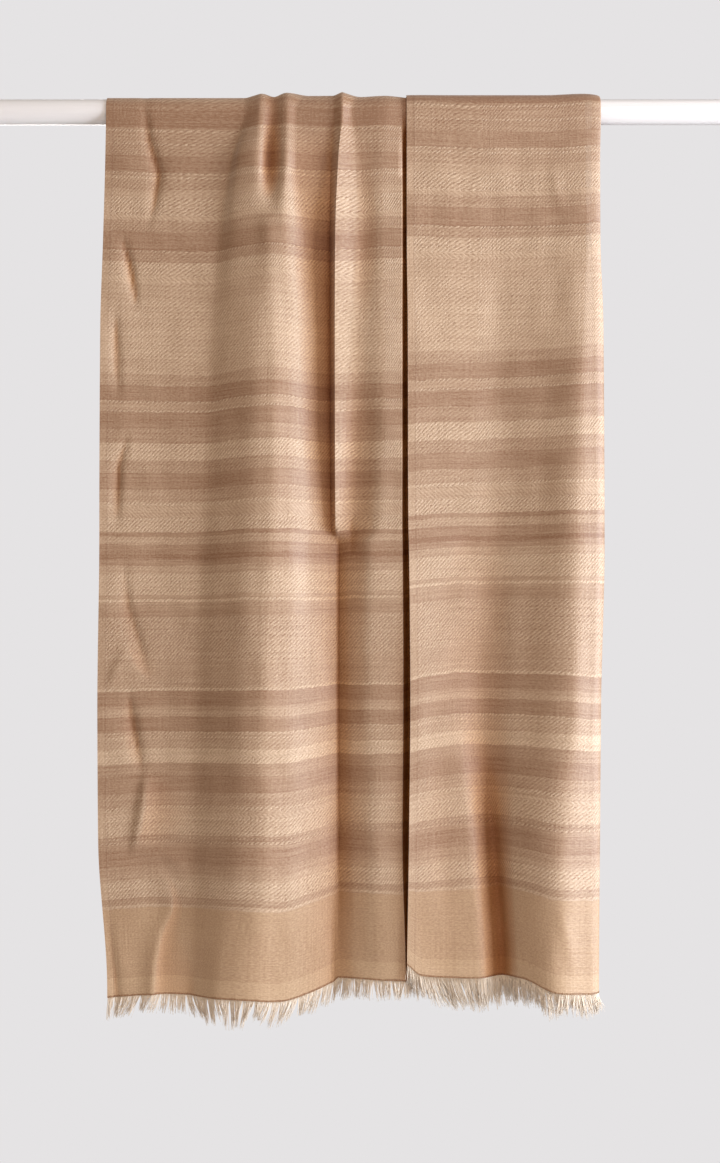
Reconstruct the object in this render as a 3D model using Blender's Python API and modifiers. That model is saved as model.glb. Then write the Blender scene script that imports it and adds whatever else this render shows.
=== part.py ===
"""A wool shawl folded lengthwise and hung over a round rod.

The rod's axis is X and its centre is the origin; +Z is up and the front faces -Y.
Lengths below are millimetres and are turned to metres where vertices are placed.

The cloth follows a path: up the front drop, half round the rod, and down the back drop.
A place on that path is a height p: below zero on the front drop, zero where the front
drop leaves the rod, and past HALF_TURN on the back drop.
Across the cloth, each drop is described by its folds, from the left selvedge to the
right edge, where the cloth doubles forward and comes back as a flap over the main layer.
"""
from bisect import bisect_right
from collections import namedtuple
from functools import lru_cache
import math

import bmesh
import bpy
import numpy as np

MM = 0.001

ROD_RADIUS = 13.5
ROD_LENGTH = 880.0
ROD_SIDES = 64

CLOTH_WALL = 1.2
CLOTH_OFF_ROD = 0.5
SEAM_GAP = 0.3
FRONT_DROP = 970.0
BACK_DROP = 925.0
EDGE_LOOP = 10.0          # how far in from the right edge its loop begins

DROP_ROWS = 15
TURN_ROWS = 10
LOOP_STRIPS = 6

HEM_STRIP = 3.0           # height of the stitched edge that holds the fringe
LOCK_PITCH = 6.5
LOCK_WAIST = 0.30         # share of a lock's length where it has narrowed
LOCK_WAIST_WIDTH = 0.55
LOCK_SWAY = 2.0

CLOTH_RADIUS = ROD_RADIUS + CLOTH_OFF_ROD + CLOTH_WALL / 2
HALF_TURN = math.pi * CLOTH_RADIUS

# Folds -----------------------------------------------------------------------------
# One row for each line where the cloth turns, left to right as seen from the front.
# across: its place along X; depth: how far it stands out from the plain path;
# lift: how far its weft threads are raised. Each holds one value for every height of DOWN.
# strips: how many facets reach to the next row; sharp: a creased line, not a soft one.
Fold = namedtuple("Fold", "name strips sharp across depth lift")

FRONT_DOWN = (0, 60, 140, 240, 460, 476, 650, 800, 965)
BACK_DOWN = (0, 60, 100, 240, 380, 470, 650, 800, 930)

FRONT_EDGE = Fold(
    "right edge", 0, False,
    (263, 262, 262, 265, 266, 266, 262, 261, 260),
    (0.5, 0.5, 1.5, 2, 2, 2, 2, 2, 2),
    (29, 30, 30.5, 32, 22.5, 22, 15, 14, 4))
FRONT_MAIN = (
    Fold("selvedge", 3, False,
         (-278, -279, -281, -284, -285, -285, -287, -286, -276),
         (0, 0, 1, 2, 2, 2.5, 3, 4, 5),
         (3, 3, 3, 3, -0.5, -0.5, -2, -4, -3)),
    Fold("flat", 2, False,
         (-215, -215, -215, -215, -215, -215, -215, -215, -215),
         (0, 0, 0, 0, 0, 0, 1, 1, 2),
         (1, 1, 1, 1, -0.7, -0.5, 0, 0, 1)),
    Fold("slope", 2, False,
         (-128, -143, -156, -166, -175, -176, -182, -186, -190),
         (0, 0, 0.5, 1, 2, 2, 3, 3, 2),
         (0, 0, 0, 0, -0.5, -0.5, 0, 0, 0)),
    Fold("shoulder", 2, False,
         (-116, -131, -138, -141, -147, -148, -152, -157, -173),
         (3, 11, 9.5, 10, 11.5, 12, 15, 15, 8),
         (1, 2, 2.5, 3, 0.8, 0.5, 1, 1, -1)),
    Fold("ridge left", 2, False,
         (-109, -111, -112, -109, -112, -114, -123, -126, -152),
         (5, 15, 15.5, 19, 21.5, 22, 25.5, 25.5, 17),
         (3, 4, 5, 6, 2.8, 2.5, 2, 2, -1)),
    Fold("ridge middle", 2, False,
         (-96, -99, -97, -96, -98, -99, -106, -110, -122),
         (1, 5, 19, 19.5, 22, 22.5, 27, 27, 19),
         (4, 5, 6, 7, 2.8, 2.5, 2, 2, -2)),
    Fold("ridge right", 3, False,
         (-80, -81, -85, -80, -79, -79, -82, -84, -88),
         (6, 14.5, 18.5, 15.5, 17.5, 18.5, 21.5, 21.5, 11.5),
         (4, 4, 5, 6, 3, 2.5, 2, 1, -5)),
    Fold("valley", 2, False,
         (-69, -69, -58, -54, -53, -54, -54, -54, -54),
         (3, 8, 6, 3, 4.5, 6, 9.5, 9.5, 2),
         (3, 3, 3.3, 3, 1.4, 1.2, 3.8, 6.5, 2.5)),
    Fold("crease foot", 1, True,
         (-29, -32, -33, -33, -32, -27, -27, -27, -28.5),
         (3.2, 3.5, -1, -5, -3, -2.5, -2, -2.5, -5),
         (2, 2, 1, 1, 0.5, 0.5, 7.5, 13.5, 12.5)),
    Fold("crease", 2, True,
         (-19.5, -23.5, -26.5, -27, -26.5, -23, -23, -23, -24),
         (7.5, 14, 16, 12.5, 5.5, -6, -6, -6.5, -6),
         (3, 1, 0, 0, 0.3, 0.5, 8, 15, 17)),
    Fold("beyond crease", 2, False,
         (-8, 0, 3, -1, -8, -9, -8, -6, -4),
         (1.5, 4, 5, 5.5, -1, 1.5, 3.5, 3.5, 3),
         (3, 3, 2, 2, 2, 2.5, 7, 15, 18)),
    Fold("beside flap", 2, False,
         (26, 24, 26, 27, 22, 13, 15, 21, 28),
         (3, 6.5, 9, 10.5, 11.5, 12, 11.5, 12, 10.5),
         (4, 4, 4, 3, 2, 2.5, 8, 15, 17)),
    Fold("brink", 1, True,
         (45, 45, 45, 45, 45, 45.5, 46.5, 45.5, 49.5),
         (0.8, 5, 9, 10.5, 12, 12, 12, 12, 10),
         (4, 4, 4, 3, 2, 2.5, 8, 15, 16.5)),
    Fold("behind flap edge", 3, False,
         (50, 51, 51.5, 51.5, 51.5, 52, 53.5, 52.5, 56),
         (0.3, -5, -7, -9, -10, -10, -10, -10, -6),
         (8, 8, 8, 7, 4.5, 4.5, 9, 14, 16)),
    Fold("under flap", 3, False,
         (150, 150, 150, 150, 150, 150, 150, 150, 150),
         (0, -3, -5, -6, -7, -7, -8, -10, -10),
         (16, 16, 16, 14, 9, 8.5, 10, 13, 12)),
)
FRONT_FLAP = (
    Fold("flap selvedge", 1, False,
         (51, 51, 51, 52, 52.5, 53, 54.5, 53, 51),
         (3, 5, 7.5, 10, 13, 14, 16.5, 17, 14.5),
         (29, 29, 28, 24, 16, 15.5, 12, 14, 38)),
    Fold("flap corner", 2, False,
         (67, 67, 67, 68, 68.5, 69, 71, 69, 67),
         (3.2, 4.8, 7, 9, 11, 11.5, 13.5, 13.5, 12),
         (29, 29, 28, 25, 17.5, 17, 16, 17, 23)),
    Fold("flap flat", 2, False,
         (98, 98, 98, 98, 96, 95, 92, 98, 98),
         (3, 4.2, 6, 7.5, 7, 7, 9, 9, 8.5),
         (28, 28, 27, 26, 19.3, 19, 18.5, 20.5, 20)),
    Fold("flap bend", 2, False,
         (133, 132, 130, 128, 119, 115, 108, 118, 130),
         (3, 3.6, 4.5, 5, 4.5, 4.3, 5.5, 7, 6),
         (27, 27, 26.5, 26, 20, 20, 20, 22, 19)),
    Fold("flap valley", 2, False,
         (154, 154, 153, 151, 143, 141, 132, 147, 157),
         (3, 3.3, 3.8, 3.5, 2.5, 2, 1, -5, -5),
         (27, 27, 27, 27, 20, 19.5, 19.5, 21.5, 19)),
    Fold("flap rise", 3, False,
         (203, 202, 202, 200, 188, 185, 168, 166, 174),
         (3, 4.2, 6, 9.5, 11, 11.5, 11, 13.5, 13),
         (27, 27, 27.5, 28, 21, 20.5, 19.5, 22, 21)),
    Fold("flap ridge", 2, False,
         (246, 246, 246, 242, 232, 232, 228, 214, 211),
         (4.5, 7, 10.5, 16.5, 23.5, 24.5, 28.5, 31, 29),
         (29, 29, 28.5, 30, 22, 21.5, 18, 16, 8.5)),
)
FRONT_LOOP_DEPTH = (4.2, 6.5, 8.5, 12, 15, 15.5, 18, 16, 15)

BACK_EDGE = Fold(
    "right edge", 0, False,
    (263, 263, 263, 264, 264, 263, 262, 261, 261),
    (0.5, 0.5, 1, 2, 2, 2, 2, 2, 2),
    (-29, -29, -28, -27, -26, -25, -22, -20, -19))
BACK_MAIN = (
    Fold("selvedge", 3, False,
         (-278, -278, -279, -281, -282, -283, -284, -285, -283),
         (0, 0, 1, 2, 3, 3, 4, 4, 5),
         (-3, -3, -3, -2, -1, 0, 1, 2, 3)),
    Fold("flat", 2, False,
         (-215, -215, -215, -215, -215, -215, -215, -215, -215),
         (0, 0, 0, 0, 1, 1, 2, 2, 2),
         (-1, -1, -1, 0, 0, 0, 0, 0, 0)),
    Fold("slope", 2, False,
         (-126, -132, -136, -148, -154, -157, -160, -163, -164),
         (0, 0, 0, 0, 1, 1, 2, 2, 3),
         (0, 0, 0, 0, 0, 0, 0, 0, 0)),
    Fold("shoulder", 2, False,
         (-115, -117, -118, -120, -121, -121, -120, -119, -119),
         (2.5, 6, 8, 11, 13, 14, 15, 16, 16),
         (-2, -2, -1, -1, 0, 0, 0, 0, 1)),
    Fold("ridge left", 2, False,
         (-106, -104, -101, -98, -95, -93, -90, -88, -88),
         (4, 9, 12, 19, 22, 24, 26, 27, 27),
         (-3, -3, -2, -1, 0, 0, 1, 1, 2)),
    Fold("ridge middle", 2, False,
         (-93.5, -91, -89, -86, -83, -81, -77, -75, -75),
         (1.2, 6, 12, 20, 24, 26, 28, 29, 29),
         (-4, -3, -2, -1, 0, 0, 1, 2, 2)),
    Fold("ridge right", 3, False,
         (-82, -79, -77, -72, -68, -66, -62, -60, -60),
         (5, 10, 13, 17, 19, 21, 22, 23, 23),
         (-4, -3, -3, -1, 0, 0, 1, 1, 2)),
    Fold("valley", 2, False,
         (-37, -36, -35, -32, -28, -26, -22, -20, -20),
         (1, 0.5, 0, -1, -2, -3, -3, -4, -4),
         (-2, -2, -2, -1, 0, 0, 0, 0, 0)),
    Fold("crease foot", 1, False,
         (-30, -27, -25, -18, -12, -9, -4, 0, 2),
         (1, 1, 1, 1, 0, 0, -1, -1, -1),
         (-2, -2, -2, -1, 0, 0, 0, 0, 0)),
    Fold("crease", 2, True,
         (-20, -17, -14, -6, 0, 3, 8, 12, 14),
         (4.5, 9, 11, 13, 14, 14, 12, 11, 11),
         (-3, -2, -2, -1, 0, 0, 1, 1, 1)),
    Fold("beyond crease", 2, False,
         (13, 15, 17, 22, 26, 28, 31, 33, 34),
         (0.5, 1, 1, 1, 1, 2, 2, 3, 3),
         (-3, -3, -3, -3, -3, -3, -3, -3, -3)),
    Fold("beside flap", 2, False,
         (30, 31, 33, 39, 43, 45, 48, 50, 51),
         (1.5, 2.5, 4, 6, 7, 8, 9, 9, 9),
         (-4, -4, -4, -4, -4, -4, -5, -5, -5)),
    Fold("brink", 1, True,
         (45, 46, 47, 51, 54, 56, 59, 61, 61),
         (1, 2, 3, 5, 6, 7, 8, 8, 8),
         (-4, -4, -4, -5, -5, -5, -6, -6, -6)),
    Fold("behind flap edge", 3, False,
         (50, 52, 53, 57, 60, 62, 65, 67, 67),
         (0.3, -3, -4, -5, -5, -6, -6, -6, -4),
         (-8, -8, -8, -7, -7, -7, -7, -7, -7)),
    Fold("under flap", 3, False,
         (150, 150, 150, 150, 150, 150, 150, 150, 150),
         (0, -2, -3, -3, -4, -4, -4, -4, -3),
         (-16, -16, -16, -15, -15, -14, -13, -12, -12)),
)
BACK_FLAP = (
    Fold("flap selvedge", 1, False,
         (51, 52, 53, 56, 59, 61, 64, 66, 66),
         (3, 4.5, 6, 8, 9, 10, 11, 11, 11),
         (-29, -29, -28, -26, -24, -22, -18, -16, -15)),
    Fold("flap corner", 2, False,
         (67, 68, 69, 72, 75, 77, 80, 82, 82),
         (3.2, 4.5, 5.5, 7, 8, 9, 10, 10, 10),
         (-29, -29, -28, -26, -24, -22, -19, -17, -16)),
    Fold("flap flat", 2, False,
         (98, 98, 99, 102, 105, 106, 108, 110, 110),
         (3, 4.2, 5, 6, 6, 6.5, 7, 7, 7),
         (-28, -28, -27, -26, -24, -22, -19, -17, -16)),
    Fold("flap bend", 2, False,
         (133, 134, 134, 136, 138, 139, 140, 141, 141),
         (3, 3.8, 4.2, 4.5, 4, 4, 4, 4, 4),
         (-27, -27, -26, -25, -24, -22, -19, -17, -16)),
    Fold("flap valley", 2, False,
         (154, 155, 156, 160, 163, 165, 168, 170, 170),
         (3, 3.5, 4, 4, 3, 3, 2.5, 2.5, 2.5),
         (-27, -27, -27, -25, -24, -22, -20, -18, -17)),
    Fold("flap rise", 3, False,
         (203, 203, 203, 202, 201, 200, 200, 200, 200),
         (3, 4.5, 6, 9, 12, 13, 14, 15, 15),
         (-27, -27, -27, -26, -25, -23, -20, -18, -17)),
    Fold("flap ridge", 2, False,
         (246, 245, 243, 239, 235, 233, 230, 228, 227),
         (4.5, 7.5, 10, 16, 19, 21, 23, 24, 24),
         (-29, -29, -28, -26, -25, -23, -20, -18, -17)),
)
BACK_LOOP_DEPTH = (4.2, 6.5, 8, 10, 11, 11, 12, 12, 12)

# Fringe length by place across the front and back hems
FRINGE_ACROSS = (-280, -170, -60, 0, 60, 130, 265)
FRINGE_LENGTH = (26, 29, 22, 18, 19, 25, 28)
LOCK_DRIFT = 5.0          # how far a lock at the left selvedge leans to the right


def soft_tangents(at, value):
    """Slopes of a curve that keeps every ridge and valley where its row puts it."""
    run = np.diff(at)
    secant = np.diff(value) / run
    slope = np.zeros(len(value))
    slope[0] = secant[0]
    slope[-1] = secant[-1]
    for i in range(1, len(value) - 1):
        if secant[i - 1] * secant[i] > 0:
            near = 2 * run[i] + run[i - 1]
            far = run[i] + 2 * run[i - 1]
            slope[i] = (near + far) / (near / secant[i - 1] + far / secant[i])
    return secant, slope


def hermite(t, start, end, slope_start, slope_end):
    """Cubic from start to end over t from 0 to 1, with slopes per unit of t."""
    return ((2 * t**3 - 3 * t**2 + 1) * start + (t**3 - 2 * t**2 + t) * slope_start
            + (3 * t**2 - 2 * t**3) * end + (t**3 - t**2) * slope_end)


@lru_cache(maxsize=None)
def height_slopes(down_table, values):
    """How fast a fold's value changes at each height it is given at, level at both ends."""
    _, slope = soft_tangents(np.array(down_table, float), np.array(values, float))
    slope[0] = slope[-1] = 0
    return slope


def at_height(down_table, values, down):
    """A fold's value at a height, smooth between the heights it is given at."""
    down = min(max(down, down_table[0]), down_table[-1])
    i = min(bisect_right(down_table, down) - 1, len(down_table) - 2)
    run = down_table[i + 1] - down_table[i]
    slope = height_slopes(down_table, values)
    t = (down - down_table[i]) / run
    return hermite(t, values[i], values[i + 1], slope[i] * run, slope[i + 1] * run)


class Layer:
    """The main layer or the flap, with its folds on both drops."""

    def __init__(self, front, back, is_flap):
        self.drops = {"front": front, "back": back}
        self.is_flap = is_flap
        self.strips = [fold.strips for fold in front]
        if is_flap:
            self.strips.append(LOOP_STRIPS)

    def columns(self):
        """Places across the layer, as a fold's number plus a share of its strip."""
        places = [0.0]
        for i, count in enumerate(self.strips):
            places += [i + (k + 1) / count for k in range(count)]
        return places

    def rows_at(self, side, down):
        """Across, depth and lift of every fold at one height, with the sharp marks."""
        table, edge, loop_depth, down_table = {
            "front": (self.drops["front"], FRONT_EDGE, FRONT_LOOP_DEPTH, FRONT_DOWN),
            "back": (self.drops["back"], BACK_EDGE, BACK_LOOP_DEPTH, BACK_DOWN),
        }[side]
        rows = [[at_height(down_table, fold.across, down),
                 at_height(down_table, fold.depth, down),
                 at_height(down_table, fold.lift, down)] for fold in table]
        edge_across = at_height(down_table, edge.across, down)
        edge_depth = at_height(down_table, edge.depth, down)
        edge_lift = at_height(down_table, edge.lift, down)
        last_depth = at_height(down_table, loop_depth, down) if self.is_flap else edge_depth
        rows.append([edge_across - EDGE_LOOP, last_depth, edge_lift])
        sharp = [fold.sharp for fold in table] + [False]
        return np.array(rows), sharp, (edge_across, edge_depth, edge_lift)

    def section(self, side, down, place):
        """Across, depth and lift at one place of one height."""
        rows, sharp, (edge_across, edge_depth, edge_lift) = self.rows_at(side, down)
        last = len(rows) - 1
        if place > last:
            return loop_round_edge(place - last, rows[last], edge_across, edge_depth) + (edge_lift,)
        i = min(int(place), last - 1)
        t = place - i
        across = rows[:, 0]
        run = across[i + 1] - across[i]
        values = []
        for column in (1, 2):
            value = rows[:, column]
            secant, slope = soft_tangents(across, value)
            start = secant[i] if sharp[i] else slope[i]
            end = secant[i] if sharp[i + 1] else slope[i + 1]
            values.append(hermite(t, value[i], value[i + 1], start * run, end * run))
        return across[i] + t * run, values[0], values[1]

    def point(self, place, p):
        """The cloth's middle at one place across and one height of the path."""
        if p < 0:
            across, depth, _ = self.section("front", -p, place)
            return across, -(CLOTH_RADIUS + depth), p
        if p > HALF_TURN:
            down = p - HALF_TURN
            across, depth, _ = self.section("back", down, place)
            return across, CLOTH_RADIUS + depth, -down
        share = p / HALF_TURN
        front = self.section("front", 0, place)
        back = self.section("back", 0, place)
        across = front[0] + (back[0] - front[0]) * share
        radius = CLOTH_RADIUS + front[1] + (back[1] - front[1]) * share
        angle = math.pi * share
        return across, -radius * math.cos(angle), radius * math.sin(angle)

    def hem(self, side, place):
        """The path height of the hem at one place."""
        if side == "front":
            return -FRONT_DROP + self.section("front", FRONT_DROP, place)[2]
        return HALF_TURN + BACK_DROP - self.section("back", BACK_DROP, place)[2]


def loop_round_edge(t, start, edge_across, edge_depth):
    """Where the flap rounds the right edge: a Bezier from the flap back to the main layer."""
    reach = edge_across + EDGE_LOOP / 3
    points = ((start[0], start[1]),
              (reach, start[1] - 0.35 * (start[1] - edge_depth)),
              (reach, edge_depth),
              (start[0] + SEAM_GAP, edge_depth))
    weights = ((1 - t)**3, 3 * t * (1 - t)**2, 3 * t**2 * (1 - t), t**3)
    across = sum(w * point[0] for w, point in zip(weights, points))
    depth = sum(w * point[1] for w, point in zip(weights, points))
    return across, depth


MAIN = Layer(FRONT_MAIN, BACK_MAIN, is_flap=False)
FLAP = Layer(FRONT_FLAP, BACK_FLAP, is_flap=True)


def clear_scene():
    """Remove the objects a new file opens with."""
    for obj in list(bpy.data.objects):
        bpy.data.objects.remove(obj, do_unlink=True)


def make_material(name, colour, roughness):
    """A Principled material of one colour."""
    material = bpy.data.materials.new(name)
    material.use_nodes = True
    shader = material.node_tree.nodes["Principled BSDF"]
    shader.inputs["Base Color"].default_value = (*colour, 1)
    shader.inputs["Roughness"].default_value = roughness
    return material


def keep(obj, collection, material):
    """Put an object in the shawl's collection and give it its material."""
    for other in list(obj.users_collection):
        other.objects.unlink(obj)
    collection.objects.link(obj)
    obj.data.materials.clear()
    obj.data.materials.append(material)
    return obj


def place_grid(name, columns, rows, where):
    """A grid of cloth, with the point of each column and row given by where()."""
    mesh = bpy.data.meshes.new(name)
    grid = bmesh.new()
    bmesh.ops.create_grid(grid, x_segments=len(columns) - 1, y_segments=rows, size=1.0)
    for vertex in grid.verts:
        column = round((vertex.co.x + 1) / 2 * (len(columns) - 1))
        share = (vertex.co.y + 1) / 2
        vertex.co = [MM * value for value in where(columns[column], share)]
    bmesh.ops.recalc_face_normals(grid, faces=grid.faces)
    grid.to_mesh(mesh)
    grid.free()
    mesh.shade_smooth()
    return bpy.data.objects.new(name, mesh)


def thicken(obj):
    """Give an open sheet the cloth's wall, half on each side."""
    wall = obj.modifiers.new("wall", "SOLIDIFY")
    wall.thickness = CLOTH_WALL * MM
    wall.offset = 0
    wall.use_even_offset = True


def make_drop(name, layer, side, collection, material):
    """One layer of the front or back drop, from its hem to where it meets the rod."""
    top = -SEAM_GAP / 2 if side == "front" else HALF_TURN + SEAM_GAP / 2

    def where(place, share):
        hem = layer.hem(side, place)
        return layer.point(place, hem + share * (top - hem))

    obj = place_grid(name, layer.columns(), DROP_ROWS, where)
    thicken(obj)
    return keep(obj, collection, material)


def make_turn(name, layer, collection, material):
    """One layer where it turns over the rod."""
    first = SEAM_GAP / 2
    last = HALF_TURN - SEAM_GAP / 2

    def where(place, share):
        return layer.point(place, first + share * (last - first))

    obj = place_grid(name, layer.columns(), TURN_ROWS, where)
    thicken(obj)
    return keep(obj, collection, material)


def lock_places(layer, side):
    """Places across a hem about one pitch apart, with the cloth's own columns among them."""
    columns = layer.columns()
    hem = np.array([layer.point(place, layer.hem(side, place)) for place in columns])
    places = [columns[0]]
    for i, width in enumerate(np.linalg.norm(np.diff(hem, axis=0), axis=1)):
        count = max(1, round(width / LOCK_PITCH))
        step = (columns[i + 1] - columns[i]) / count
        places += [columns[i] + step * (k + 1) for k in range(count)]
    return places


def below_hem(layer, side, place, drop):
    """A point a little past the hem, on the cloth's own facet at that place."""
    away = -1 if side == "front" else 1
    columns = layer.columns()
    i = min(max(np.searchsorted(columns, place) - 1, 0), len(columns) - 2)
    t = (place - columns[i]) / (columns[i + 1] - columns[i])
    near, far = (np.array(layer.point(end, layer.hem(side, end) + away * drop))
                 for end in columns[i:i + 2])
    return near + t * (far - near)


def make_fringe(name, layer, side, collection, material):
    """The stitched edge below a hem, with a tapering lock drawn from each of its faces."""
    away = -1 if side == "front" else 1

    def where(place, share):
        return below_hem(layer, side, place, SEAM_GAP + HEM_STRIP * (1 - share))

    strip = place_grid(name, lock_places(layer, side), 1, where)
    thicken(strip)
    collection.objects.link(strip)
    bpy.context.view_layer.update()
    solid = bpy.data.meshes.new_from_object(strip.evaluated_get(bpy.context.evaluated_depsgraph_get()))
    bpy.data.objects.remove(strip, do_unlink=True)

    work = bmesh.new()
    work.from_mesh(solid)
    roots = [face for face in work.faces if face.normal.z < -0.9]
    roots.sort(key=lambda face: face.calc_center_median().x + face.calc_center_median().y)
    for number, root in enumerate(roots):
        draw_lock(work, root, number, away)
    work.to_mesh(solid)
    work.free()
    return keep(bpy.data.objects.new(name, solid), collection, material)


def draw_lock(work, root, number, away):
    """Draw one root face down into a lock that narrows at its waist and ends in a point."""
    centre = root.calc_center_median()
    across = centre.x / MM
    length = np.interp(across, FRINGE_ACROSS, FRINGE_LENGTH) * (1 + 0.07 * math.sin(2.4 * number))
    lean = LOCK_DRIFT * max(0, 1 - (across - FRINGE_ACROSS[0]) / 60)
    sway = lean + LOCK_SWAY * math.sin(1.7 * number)
    waist = bmesh.ops.extrude_discrete_faces(work, faces=[root])["faces"][0]
    for vertex in waist.verts:
        side_step = (vertex.co - centre) * LOCK_WAIST_WIDTH
        vertex.co = centre + side_step
        vertex.co.x += LOCK_WAIST * sway * MM
        vertex.co.z = centre.z - LOCK_WAIST * length * MM
    tip = bmesh.ops.poke(work, faces=[waist])["verts"][0]
    tip.co = centre
    tip.co.x += sway * MM
    tip.co.y += 0.3 * away * math.sin(3.1 * number) * MM
    tip.co.z -= length * MM


def make_rod(collection, material):
    """The round rod the shawl hangs over, with plain flat ends."""
    bpy.ops.mesh.primitive_cylinder_add(vertices=ROD_SIDES, radius=ROD_RADIUS * MM,
                                        depth=ROD_LENGTH * MM, rotation=(0, math.pi / 2, 0))
    rod = bpy.context.object
    rod.name = rod.data.name = "rod"
    rod.data.shade_smooth()
    rod.data.set_sharp_from_angle(angle=math.radians(40))
    return keep(rod, collection, material)


def build():
    """Make every piece of the shawl and its rod."""
    clear_scene()
    collection = bpy.data.collections.new("wool_shawl_on_rod")
    bpy.context.scene.collection.children.link(collection)
    wool = make_material("striped wool", (0.47, 0.30, 0.19), 0.9)
    yarn = make_material("ivory yarn", (0.72, 0.66, 0.58), 0.9)
    enamel = make_material("white enamel", (0.82, 0.82, 0.82), 0.25)

    make_rod(collection, enamel)
    for layer_name, layer in (("main", MAIN), ("flap", FLAP)):
        make_turn(f"{layer_name}_turn", layer, collection, wool)
        for side in ("front", "back"):
            make_drop(f"{side}_{layer_name}", layer, side, collection, wool)
            make_fringe(f"{side}_{layer_name}_fringe", layer, side, collection, yarn)


build()
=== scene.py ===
"""A striped wool shawl folded lengthwise and hung over a white rod.

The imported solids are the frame. One continuous cloth, its frayed ends and the
stitching along its hems are made around them, and the rod keeps its own solid.
The rod's axis is X with its centre at the origin, +Z is up and the front faces -Y.
Lengths are millimetres until a vertex is placed.
"""
from collections import namedtuple
import math
import random

import bpy
import numpy as np
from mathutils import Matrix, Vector


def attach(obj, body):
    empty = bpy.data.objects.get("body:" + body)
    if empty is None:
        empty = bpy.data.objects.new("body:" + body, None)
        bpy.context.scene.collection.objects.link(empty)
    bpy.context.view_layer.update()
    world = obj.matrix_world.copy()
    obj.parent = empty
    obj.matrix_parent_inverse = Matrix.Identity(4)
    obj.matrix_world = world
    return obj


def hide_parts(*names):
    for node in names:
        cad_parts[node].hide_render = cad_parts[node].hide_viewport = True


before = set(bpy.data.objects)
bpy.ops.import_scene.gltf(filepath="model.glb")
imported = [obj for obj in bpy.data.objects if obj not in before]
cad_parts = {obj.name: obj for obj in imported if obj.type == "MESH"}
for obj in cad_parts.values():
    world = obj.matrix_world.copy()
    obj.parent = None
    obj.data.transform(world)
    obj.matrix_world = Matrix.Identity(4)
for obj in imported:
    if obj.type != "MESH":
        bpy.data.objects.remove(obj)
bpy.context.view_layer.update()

MM = 0.001

# The rod and the cloth's path over it, as the solids have them
ROD_RADIUS = 13.5
ROD_GAP = 0.5  # between the rod and the solids' cloth
SOLID_WALL = 1.2
CLOTH_RADIUS = ROD_RADIUS + ROD_GAP + SOLID_WALL / 2
HALF_TURN = math.pi * CLOTH_RADIUS
FRONT_DROP = 970.0
BACK_DROP = 925.0
CLOTH_LENGTH = FRONT_DROP + HALF_TURN + BACK_DROP
EDGE_LOOP = 10.0  # how far in from the right edge the cloth starts to turn back
LOOP_LEAN = 0.35  # how far the loop's outer half leans back to the main layer

# The cloth's mesh: its wall, its rows, and its strips from each fold to the next
CLOTH_WALL = 0.9
FRONT_ROWS = 170
TURN_ROWS = 14
BACK_ROWS = 82
MAIN_STRIPS = (20, 12, 6, 5, 5, 6, 12, 5, 6, 9, 6, 5, 5, 7, 5)
FLAP_STRIPS = (4, 7, 7, 6, 10, 11, 9)
LOOP_STRIPS = 14
DOWN_STEP = 2.0  # between the heights where the folds are worked out
BELOW_HEM = 41  # how far these go on, for threads that sag below the hem
LIFT_PASSES = 4  # until a lifted thread lies at its own height
SMOOTH_ANGLE = 60  # folds are smoothed, and the cloth's cut edges stay crisp

# The slight unevenness of the cloth, as waves down and across it
RIPPLE = 0.35
RIPPLE_WAVES = 10
LONG_WAVES = (90, 260)
WIDE_WAVES = (28, 80)
WAVE_SLANT = 0.3
ANY_PHASE = (0, 6.3)
CALM_TOP = 60  # there is less of it this near to the rod

CREASE_ENDS = 0.6  # a small crease's width at its ends, against its middle
CREASE_ROUNDING = 1.4
BESIDE = 0.3  # how near the wool beside a point can be to shelter it

# Along a hem: where its yarns and stitches start and end, how unevenly they are spaced, and
# how far to each side the hem's own direction is taken
HEM_START = 0.6
HEM_END = 0.4
HEM_MARGIN = 0.3
UNEVEN_SPACING = 0.4
HEM_REACH = 1.5

# The frayed ends. Sway is sideways and stray is out from the cloth, at a tip.
YARN_SPACING = 0.38
YARN_STEPS = 5
YARN_SIDES = 3
HEM_TUCK = 0.4  # how far the yarns start inside the hem
THICK_SHARE = 0.45  # of the yarns, which are of two thicknesses
THICK_RADIUS = 0.50
THIN_RADIUS = 0.30
YARN_TAPER = 0.55  # how much of its radius a yarn loses
YARN_LENGTHS = (0.72, 0.36)  # the shortest, and what chance adds, as shares of its place's
YARN_SWAY = 1.3
YARN_STRAY = 0.9
SIDE_CURL, SIDE_WINDING = 0.5, 7
OUT_CURL, OUT_WINDING = 0.4, 5
GATHER_EARLY, SWING_LATE = 0.8, 1.3
LOCK_WIDTHS = (6.0, 13.0)
LOCK_LENGTHS = (0.86, 1.08)
LOCK_SHIFT = 1.5  # how far it closes up to one side of its middle
LOCK_SWAY = 1.8
LOCK_STRAY = 1.2

# The overcast stitches. Each bends round the hem from one face to the other, and the bend
# is given as how far out from the cloth's middle and how far up from its edge.
STITCH_PITCH = 1.8
STITCH_RADIUS = 0.2
STITCH_SIDES = 4
STITCH_SLANT = (1.1, -0.5)
STITCH_BEND = ((0.44, 2.0), (0.58, 1.3), (0.55, 0.4), (0.05, -0.35), (-0.55, 0.4),
               (-0.58, 1.3), (-0.44, 2.0))
FRINGE_SEED = 5
STITCH_SEED = 20

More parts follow.
